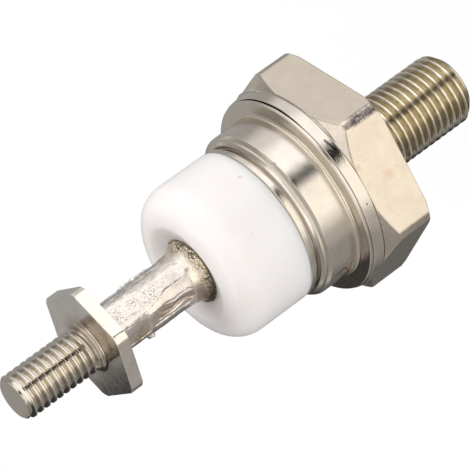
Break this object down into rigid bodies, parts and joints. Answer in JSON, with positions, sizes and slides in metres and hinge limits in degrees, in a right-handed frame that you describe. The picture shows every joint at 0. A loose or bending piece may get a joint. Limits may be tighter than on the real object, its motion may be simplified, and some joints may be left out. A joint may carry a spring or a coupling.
{
  "type": "stud rectifier diode",
  "caption": "Rectifier diode with a hexagon base and threaded mounting stud, round metal can, white ceramic insulator and a crimped terminal that ends in a threaded post.",
  "frame": {"origin": "centre of the hexagon base's seating face, on the diode's axis", "axes": "+Z along the axis towards the threaded terminal, so the mounting stud points along -Z; two flats of the hexagon base face +Y and -Y"},
  "size_m": [0.0304, 0.0272, 0.07],
  "materials": {
    "nickel_plated_copper": "satin nickel plate over copper, lightly worn",
    "nickel_plated_steel": "satin nickel plate over steel",
    "nickel_plated_tube": "crimped, bright nickel plate with pits",
    "braze_alloy": "grainy braze",
    "alumina": "smooth white ceramic",
    "molybdenum": "ground",
    "solder": "dull",
    "silicon": "lapped",
    "aluminium_alloy": "dull",
    "silicone_coating": "soft",
    "copper": "bare copper"
  },
  "bodies": {
    "root": {"hex_base": "nickel_plated_copper", "terminal_stud": "nickel_plated_copper", "terminal_tube": "nickel_plated_tube", "weld_ring": "nickel_plated_steel", "housing_can": "nickel_plated_steel", "sealing_ring": "nickel_plated_steel", "terminal_braze": "braze_alloy", "base_braze_ring": "braze_alloy", "ceramic_braze": "braze_alloy", "ceramic_insulator": "alumina", "lower_molybdenum_disc": "molybdenum", "upper_molybdenum_disc": "molybdenum", "base_solder": "solder", "upper_solder": "solder", "cup_solder": "solder", "silicon_wafer": "silicon", "wafer_alloy": "aluminium_alloy", "junction_coating": "silicone_coating", "contact_cup": "copper", "flexible_lead": "copper"}
  },
  "joints": []
}
